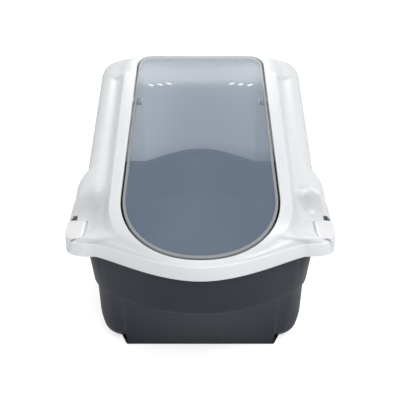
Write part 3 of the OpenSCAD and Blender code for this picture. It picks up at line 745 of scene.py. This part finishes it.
# Along the hinge: the hood's bosses outside the flange, and the lid's bosses inside its rim
HINGE_Y = 74.0
HINGE_D = 9.0
HINGE_Z = roof(HINGE_Y) - HINGE_D / math.cos(ROOF_ANGLE)
PIN_R = 4.0
PIN_CLEAR = 0.05
BOSS_R = 6.4
BOSS_FACE = 1.0
LID_EDGE = LID_W / 2 * (1.0 - (1.0 - LID_REAR_W / LID_W) * (HINGE_Y + LID_SIDE) / (LID_TAIL + LID_SIDE))
OPEN_EDGE = LID_EDGE + SLIT
HOOD_BOSS_OUT = OPEN_EDGE + 11.0
BOSS_FLOOR = 1.6
ALONG_X = [[0.0, 0.0, 1.0], [1.0, 0.0, 0.0], [0.0, 1.0, 0.0]]


def along_hinge(low, high, radius, edge=0.0):
    """A round solid on the hinge's axis."""
    return moved(block(disc(radius), low, high, edge), (0.0, HINGE_Y, HINGE_Z), ALONG_X)


# Two tabs under the lid's front rim, on which it rests
STOP_X = 62.0
STOP_W = 16.0
STOP_OUT = 7.0
STOP_LOW = 12.4
STOP_TOP = 9.4
stop_y = -LID_SIDE - float(end_out(STOP_X, LID_W / 2, LID_ROUND, LID_POWER)) - SLIT
ca, sa = math.cos(ROOF_ANGLE), math.sin(ROOF_ANGLE)
ON_ROOF = [[1.0, 0.0, 0.0], [0.0, ca, -sa], [0.0, sa, ca]]
stop_tab = block(rectangle(STOP_W, 2 * STOP_OUT + HOOD_WALL, corner=2.0), -STOP_LOW, -STOP_TOP, edge=0.5)
stop_tab = moved(moved(stop_tab, (0.0, -HOOD_WALL / 2, 0.0)), (STOP_X, stop_y, roof(stop_y)), ON_ROOF)

# The clip's place: its plate lies along the deck, and its pivots run along the plate's inner edge
CLIP_L = 44.0
CLIP_W = 31.0
CLIP_T = 3.0
CLIP_Y = 174.0
CLIP_RISE = 2.0
CLIP_CLEAR = 0.8
BARREL_R = 5.5
PIVOT_R = 2.0
PIVOT_L = 3.0
CLIP_X = WING_HALF - CLIP_W / 2
CLIP_Z = float(deck(CLIP_X, -CLIP_Y))
PITCH = math.atan((deck(CLIP_X, CLIP_L / 2 - CLIP_Y) - deck(CLIP_X, -CLIP_L / 2 - CLIP_Y)) / CLIP_L)
ROLL = math.atan((deck(WING_HALF - CLIP_W, -CLIP_Y) - deck(WING_HALF, -CLIP_Y)) / CLIP_W)
PIVOT_X = BARREL_R - CLIP_W / 2
PIVOT_Z = CLIP_RISE - BARREL_R
cp, sp = math.cos(PITCH), math.sin(PITCH)
cr, sr = math.cos(ROLL), math.sin(ROLL)
PITCHED = np.array([[1.0, 0.0, 0.0], [0.0, cp, -sp], [0.0, sp, cp]])
ROLLED = np.array([[cr, 0.0, sr], [0.0, 1.0, 0.0], [-sr, 0.0, cr]])


def in_wing(solid):
    """Moves a solid from the clip's own frame, level with its plate, to its place in the right wing."""
    return moved(moved(solid, (CLIP_X, 0.0, 0.0), ROLLED), (0.0, -CLIP_Y, CLIP_Z), PITCHED)


def pivot(radius, length, edge=0.0):
    """A round solid on the clip's pivot line."""
    lying = [[1.0, 0.0, 0.0], [0.0, 0.0, -1.0], [0.0, 1.0, 0.0]]
    solid = moved(block(disc(radius), -length / 2, length / 2, edge), turn=lying)
    return in_wing(moved(solid, (PIVOT_X, 0.0, PIVOT_Z)))


def both(solids):
    """Each solid followed by its mirror image."""
    return [one for solid in solids for one in (solid, mirrored(solid))]


HOOD_SHARP_DEG = 36.0
EAR_WALL = 1.8
EAR_TOP = 0.2
ear_low = PIVOT_Z - PIVOT_R - EAR_WALL
ear = block(rectangle(2 * (PIVOT_R + EAR_WALL), PIVOT_L + EAR_WALL, corner=0.8), ear_low, -EAR_TOP,
            edge=0.4)
ear_y = CLIP_L / 2 + CLIP_CLEAR + (PIVOT_L + EAR_WALL) / 2
ears = [in_wing(moved(ear, (PIVOT_X, y, 0.0))) for y in (-ear_y, ear_y)]
hood_boss = along_hinge(OPEN_EDGE - BOSS_FACE, HOOD_BOSS_OUT, BOSS_R, edge=0.4)
worked(hood, both([hood_boss, stop_tab] + ears), "UNION", HOOD_SHARP_DEG)

NOTCH_LOW = -BARREL_R - 3 * HOOD_WALL
SLOT_TALL = 60.0
SLOT_W = 10.0
SLOT_L = 11.0
notch = block(rectangle(2 * CLIP_W, CLIP_L + 2 * CLIP_CLEAR, corner=0.6), NOTCH_LOW, 3 * BARREL_R, edge=0.0)
notch = in_wing(moved(notch, (CLIP_W / 2 - CLIP_CLEAR, 0.0, 0.0)))
LEG_SLOT_STEP = 0.2
leg_slot_l = CLIP_L + 2 * (CLIP_CLEAR - LEG_SLOT_STEP)
leg_slot = block(rectangle(CLIP_W, leg_slot_l, corner=0.6), -SLOT_TALL, SLOT_TALL, edge=0.0)
leg_slot = moved(leg_slot, (RIM_HALF + CLIP_CLEAR + CLIP_W / 2, 0.0, 0.0))
leg_slot = moved(leg_slot, (0.0, -CLIP_Y, CLIP_Z), PITCHED)
tongue_slot = block(rectangle(SLOT_W, SLOT_L, corner=1.2), HEM_H - 1.0, CREST_H, edge=0.0)
tongue_slot = moved(tongue_slot, (TONGUE_X, -TONGUE_Y, 0.0))
bore = along_hinge(OPEN_EDGE - 2 * BOSS_FACE, HOOD_BOSS_OUT - BOSS_FLOOR, PIN_R + PIN_CLEAR)
VENT_LEAN = math.radians(20.0)
VENT_L = 10.0
VENT_T = 2.6
VENT_X = 60.0
VENT_PITCH = 17.0
VENT_Y = 230.0
VENT_Z = CREST_H - 60.0
cv, sv = math.cos(VENT_LEAN), math.sin(VENT_LEAN)
LEANED = [[cv, -sv, 0.0], [0.0, 0.0, -1.0], [sv, cv, 0.0]]
VENT_REACH = 50.0
vent = block(rectangle(VENT_L, VENT_T, corner=1.2), -VENT_REACH, VENT_REACH, edge=0.0)
vents = [moved(vent, (VENT_X + VENT_PITCH * k, VENT_Y, VENT_Z), LEANED) for k in range(3)]
PIVOTS_L = CLIP_L + 2 * CLIP_CLEAR + 2 * PIVOT_L
worked(hood, both([notch, bore, tongue_slot] + vents), "DIFFERENCE", HOOD_SHARP_DEG)
worked(hood, both([leg_slot]), "DIFFERENCE", HOOD_SHARP_DEG)
worked(hood, both([pivot(PIVOT_R + PIN_CLEAR, PIVOTS_L + 1.0)]), "DIFFERENCE", HOOD_SHARP_DEG)

WHITE = (0.785, 0.820, 0.840, 1.0)
WHITE_PALE = (0.815, 0.845, 0.860, 1.0)
hood_plastic = plastic("hood_plastic", WHITE, WHITE_PALE, roughness=0.22, spread=0.06, grain_mm=0.7,
                       grain_depth=0.01, coat=0.4, glow_through=0.8)
hood.data.materials.append(hood_plastic)
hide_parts("hood")
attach(hood, "hood")

# Lid
# A clear smoked pane with a rim turned down all round, moulded in one piece with the two bosses
# that take the pins. It fills the opening in the roof but for a slit.
PANE_T = 2.6
RIM_D = 9.0
RIM_T = 4.0
LID_SHARP_DEG = 30.0
LID_MID = (LID_TAIL - LID_TIP) / 2


def lid_ring(grow, height, share=1.0):
    """A lap of the lid's outline, grown, at a height over the hinge's plane, shrunk to a share of
    its size towards the lid's middle."""
    p = lid_plan(grow)
    x = p[:, 0] * share
    y = LID_MID + (p[:, 1] - LID_MID) * share
    along = (y - HINGE_Y) / ca + HINGE_D * math.tan(ROOF_ANGLE)
    return np.stack([x, HINGE_Y + along * ca - height * sa, HINGE_Z + along * sa + height * ca], axis=1)


PANE_IN = -RIM_T - 2.0
BEVEL = 0.6
under = HINGE_D - PANE_T
foot = HINGE_D - RIM_D
lid_laps = [
    (lid_ring(PANE_IN, under, 0.3), 0.0),
    (lid_ring(PANE_IN, under, 0.65), 0.0),
    (lid_ring(PANE_IN, under), 0.0),
    (lid_ring(-RIM_T, under), 0.9),
    (lid_ring(-RIM_T, foot), 0.8),
    (lid_ring(0.0, foot), 0.8),
    (lid_ring(0.0, HINGE_D), 1.3),
    (lid_ring(-RIM_T + BEVEL, HINGE_D), 0.0),
    (lid_ring(-RIM_T - BEVEL, HINGE_D), 0.0),
    (lid_ring(PANE_IN, HINGE_D, 0.65), 0.0),
    (lid_ring(PANE_IN, HINGE_D, 0.3), 0.0)]
lid_grid = rounded(lid_laps, 6, closed=False)
lid_solid = fan_ended(
    lid_grid, [0.0, LID_MID, roof(LID_MID) - PANE_T / ca], [0.0, LID_MID, roof(LID_MID)])
lid = put_mesh("lid_pane", *lid_solid)
LID_BOSS_L = 7.0
LID_BOSS_IN = LID_EDGE - RIM_T - LID_BOSS_L
lid_boss = along_hinge(LID_BOSS_IN, LID_EDGE + BOSS_FACE, BOSS_R, edge=0.4)
worked(lid, both([lid_boss]), "UNION", LID_SHARP_DEG)
lid_bore = along_hinge(LID_BOSS_IN - 1.0, LID_EDGE + 2 * BOSS_FACE, PIN_R + PIN_CLEAR)
worked(lid, both([lid_bore]), "DIFFERENCE", LID_SHARP_DEG)

# The rim's share is kept at each point of the mesh: 1 in the rim and the bosses, 0 in the pane
RIM_REACH = RIM_T + 0.3
PANE_REACH = PANE_T + 0.5
rim_line = lid_ring(0.0, HINGE_D)
following = np.roll(rim_line, -1, axis=0)
rim_line = np.concatenate([mix(rim_line, following, f) for f in np.linspace(0.0, 0.9, 10)])
near = KDTree(len(rim_line))
for k, spot in enumerate(rim_line):
    near.insert(spot, k)
near.balance()
rim_share = []
for vertex in lid.data.vertices:
    spot = vertex.co / MM
    below = (roof(spot.y) - spot.z) * ca
    level = spot + Vector((0.0, -below * sa, below * ca))
    in_rim = near.find(level)[2] < RIM_REACH or below > PANE_REACH
    rim_share.append(1.0 if in_rim else 0.0)
lid.data.attributes.new("rim_share", "FLOAT", "POINT").data.foreach_set("value", rim_share)

SMOKE = (0.385, 0.510, 0.690, 1.0)
SMOKE_PALE = (0.410, 0.535, 0.715, 1.0)
RIM_GREY = (0.40, 0.41, 0.41, 1.0)
ACRYLIC_IOR = 1.49
PANE_ALPHA = 0.16
RIM_EXTRA = 0.55
smoked, w = new_material("smoked_clear")
spot = w.out("ShaderNodeTexCoord", output="Object")
haze = w.out("ShaderNodeTexNoise", Vector=spot, Scale=6.0, Detail=2.0)
rim = w.out("ShaderNodeAttribute", {"attribute_name": "rim_share"}, output="Fac")
tint = rim.blend(haze.blend(SMOKE, SMOKE_PALE), RIM_GREY)
body = w.out("ShaderNodeBsdfPrincipled", IOR=ACRYLIC_IOR, Specular_IOR_Level=0.0, Base_Color=tint,
             Roughness=0.5, Alpha=rim * RIM_EXTRA + PANE_ALPHA)
gloss = w.out("ShaderNodeBsdfAnisotropic", Color=(1.0, 1.0, 1.0, 1.0), Roughness=0.07)
outside = 1.0 - w.out("ShaderNodeNewGeometry", output="Backfacing")
mirror_share = w.out("ShaderNodeFresnel", IOR=ACRYLIC_IOR) * outside
w.node("ShaderNodeOutputMaterial",
       Surface=w.out("ShaderNodeMixShader", i0=mirror_share, i1=body, i2=gloss))
lid.data.materials.append(smoked)
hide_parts("lid")
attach(lid, "lid")

# Hinge pins
# Two white pins with a flat head inside the lid, pushed through its boss into the hood's.
HEAD_T = 2.0
HEAD_R = 5.6
PIN_SHORT = 0.8
PIN_POINTS = 64
PIN_END = HOOD_BOSS_OUT - BOSS_FLOOR - PIN_SHORT
head_in = LID_BOSS_IN - HEAD_T - PIN_CLEAR
seat = LID_BOSS_IN - PIN_CLEAR
# The turned outline from the head's middle to the pin's end: distance along the hinge, and radius
pin_profile = np.array([
    (head_in + 0.25, 2.6), (head_in + 0.05, 3.2), (head_in, 4.6), (head_in + 0.15, 5.15),
    (head_in + 0.5, HEAD_R - 0.05), (head_in + 0.9, HEAD_R), (seat - 0.3, HEAD_R), (seat, HEAD_R - 0.3),
    (seat, PIN_R + 0.2), (seat + 0.25, PIN_R), (PIN_END - 1.2, PIN_R), (PIN_END - 0.5, PIN_R - 0.4),
    (PIN_END, PIN_R - 1.2)])
turn = np.linspace(0.0, 2 * np.pi, PIN_POINTS, endpoint=False)
pin_grid = np.stack([
    np.broadcast_to(pin_profile[:, :1], (len(pin_profile), PIN_POINTS)),
    HINGE_Y + pin_profile[:, 1:] * np.cos(turn), HINGE_Z + pin_profile[:, 1:] * np.sin(turn)], axis=2)
PIN_WHITE = (0.78, 0.79, 0.80, 1.0)
PIN_WHITE_PALE = (0.82, 0.83, 0.84, 1.0)
pin_plastic = plastic("pin_plastic", PIN_WHITE, PIN_WHITE_PALE, roughness=0.3, spread=0.1, grain_mm=0.6,
                      grain_depth=0.02, coat=0.2)
right_pin = flat_ended(pin_grid)
for side, solid in (("right", right_pin), ("left", mirrored(right_pin))):
    pin = put_mesh("pin_" + side, *solid)
    pin.data.materials.append(pin_plastic)
    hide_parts("hinge_pin_" + side)
    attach(pin, "lid")

# Side clips
# Two white levers. Each has a plate level with the wing, a barrel with two moulded pivots along its
# inner edge, and a leg that comes down outside the tray's rim and ends in a nib beside it.
CLIP_EDGE = 0.6
CLIP_INSET = 0.6
NIB_T = 1.8
NIB_GAP = 1.6
NIB_END = 3.0
CLIP_SHARP_DEG = 36.0
CLIP_STATIONS = 40
BARREL_POINTS = 48
END_MARGIN = 1.2
LEG_OVER_HEM = 0.8
LEG_FOOT = HEM_H + LEG_OVER_HEM
wing_line = apron_plan(CLIP_INSET, WING_OUT)
wing_line = wing_line[(wing_line[:, 0] > WING_HALF / 2) & (wing_line[:, 1] < 0.0)]
wing_line = wing_line[np.argsort(wing_line[:, 1])]


def bent_line(corners, steps):
    """Corner points of one line, each bent over as a parabola at its own radius."""
    line = [corners[0][0]]
    for (before, _), (corner, radius), (after, _) in zip(corners, corners[1:], corners[2:]):
        back, on = np.subtract(before, corner), np.subtract(after, corner)
        start = corner + back * min(MOST_BENT, radius / np.linalg.norm(back))
        stop = corner + on * min(MOST_BENT, radius / np.linalg.norm(on))
        for t in np.linspace(0.0, 1.0, steps):
            line.append((1 - t) ** 2 * start + 2 * t * (1 - t) * np.asarray(corner) + t * t * stop)
    return line


def clip_lap(station, inset):
    """The clip's outline across its length, inset: barrel, plate and leg. The leg's outer face
    follows the wing's outline."""
    def plane(across, height):
        """The point at that x and that height over the deck's plane."""
        along = (across - CLIP_X - height * sr) / cr
        return np.array([across, height * cr - along * sr])

    foot_z = (LEG_FOOT - CLIP_Z - station * sp) / cp
    way_y = [-CLIP_Y + station * cp - z * sp for z in (0.0, foot_z)]
    outer = np.interp(way_y, wing_line[:, 1], wing_line[:, 0])
    middle = np.array([CLIP_X + PIVOT_X * cr + PIVOT_Z * sr, PIVOT_Z * cr - PIVOT_X * sr])
    low_side = CLIP_RISE - CLIP_T
    meet = math.acos((low_side - PIVOT_Z) / BARREL_R)
    turn = np.linspace(meet, 2 * np.pi, BARREL_POINTS)[1:]
    barrel = middle + BARREL_R * np.stack([np.sin(turn + ROLL), np.cos(turn + ROLL)], axis=1)
    join = middle + BARREL_R * np.array([math.sin(meet + ROLL), math.cos(meet + ROLL)])
    corners = [(barrel[-1], 0.0), (plane(outer[0], CLIP_RISE), 1.0), (np.array([outer[1], foot_z]), 0.5),
               (np.array([outer[1] - CLIP_T, foot_z]), 0.5), (plane(outer[0] - CLIP_T, low_side), 1.5),
               (join, 0.8), (barrel[2], 0.0)]
    line = bent_line(corners, 6)[1:]
    lap_points = np.concatenate([line, barrel[3:]])
    way = np.roll(lap_points, -1, axis=0) - np.roll(lap_points, 1, axis=0)
    way /= np.linalg.norm(way, axis=1)[:, None]
    inward = np.stack([way[:, 1], -way[:, 0]], axis=1)
    flat = lap_points + inward * inset
    return np.stack([flat[:, 0], np.full(len(flat), station), flat[:, 1]], axis=1)


ends = [(CLIP_L / 2 - CLIP_EDGE * (1.0 - np.sin(t)), CLIP_EDGE * (1.0 - np.cos(t)))
        for t in np.linspace(0.0, np.pi / 2, 5)]
stations = [(-place, inset) for place, inset in ends[::-1]]
last_even = CLIP_L / 2 - END_MARGIN
stations += [(place, 0.0) for place in np.linspace(-last_even, last_even, CLIP_STATIONS)] + ends
clip_grid = np.array([clip_lap(station, inset) for station, inset in stations])
clip_solid = moved(flat_ended(clip_grid, flip=True), (0.0, -CLIP_Y, CLIP_Z), PITCHED)
NIB_SUNK = 0.4
nib_out = WING_HALF - CLIP_INSET - CLIP_T - NIB_SUNK
nib_y = -CLIP_Y + (CLIP_Z - LEG_FOOT - NIB_T / 2) * sp / cp
nib_in = RIM_HALF + NIB_GAP
nib_plan = rectangle(nib_out - nib_in, (CLIP_L - 2 * NIB_END) / cp, corner=0.8)
nib = block(nib_plan, LEG_FOOT, LEG_FOOT + NIB_T, edge=0.3)
nib = moved(nib, ((nib_out + nib_in) / 2, nib_y, 0.0))
CLIP_WHITE = (0.78, 0.79, 0.81, 1.0)
CLIP_WHITE_PALE = (0.82, 0.83, 0.84, 1.0)
clip_plastic = plastic("clip_plastic", CLIP_WHITE, CLIP_WHITE_PALE, roughness=0.24, spread=0.08,
                       grain_mm=0.6, grain_depth=0.01, coat=0.3, glow_through=0.5)
right_clip = [clip_solid, nib, pivot(PIVOT_R, PIVOTS_L, edge=0.4)]
for side, solids in (("right", right_clip), ("left", [mirrored(one) for one in right_clip])):
    clip = put_mesh("side_clip_" + side, *solids[0])
    worked(clip, [solids[1]], "UNION", CLIP_SHARP_DEG)
    worked(clip, [solids[2]], "UNION", CLIP_SHARP_DEG)
    clip.data.materials.append(clip_plastic)
    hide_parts("clip_" + side)
    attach(clip, "clip_" + side)
